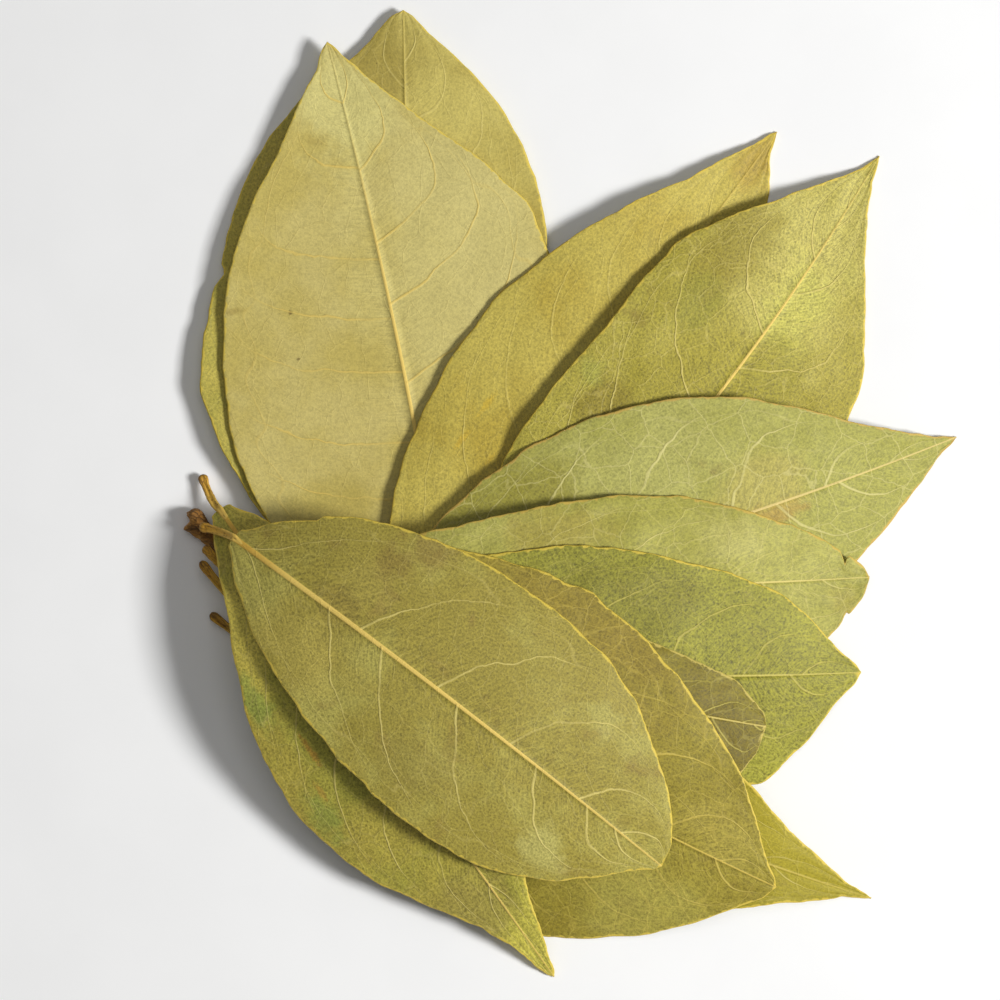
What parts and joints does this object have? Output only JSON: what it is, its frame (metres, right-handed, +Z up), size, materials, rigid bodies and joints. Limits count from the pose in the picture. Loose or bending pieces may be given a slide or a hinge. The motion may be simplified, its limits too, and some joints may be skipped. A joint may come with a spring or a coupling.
{
  "type": "bay leaf branch",
  "caption": "Cut twig of bay lying flat, its long pointed leaves fanned out in one overlapping pile.",
  "frame": {"origin": "middle of the branch's outer box, on the surface it lies on", "axes": "+Z up from the surface, +Y along the fan's longest extent, towards the leaves that point away from the twig"},
  "size_m": [0.116, 0.144, 0.0174],
  "materials": {
    "bark": "rough bark",
    "bud": "matte",
    "leaf_green": "dry satin leaf",
    "leaf_yellow": "dry satin leaf",
    "leaf_khaki": "dry matte leaf",
    "leaf_olive": "dry satin leaf",
    "leaf_grey": "dry matte leaf",
    "leaf_brown": "dry satin leaf"
  },
  "bodies": {
    "root": {"twig": "bark", "end_bud": "bud", "leaf_01": "leaf_green", "leaf_02": "leaf_yellow", "leaf_03": "leaf_khaki", "leaf_04": "leaf_khaki", "leaf_05": "leaf_olive", "leaf_06": "leaf_grey", "leaf_07": "leaf_grey", "leaf_08": "leaf_green", "leaf_09": "leaf_yellow", "leaf_10": "leaf_brown", "leaf_11": "leaf_brown", "leaf_12": "leaf_green", "leaf_13": "leaf_olive"}
  },
  "joints": []
}
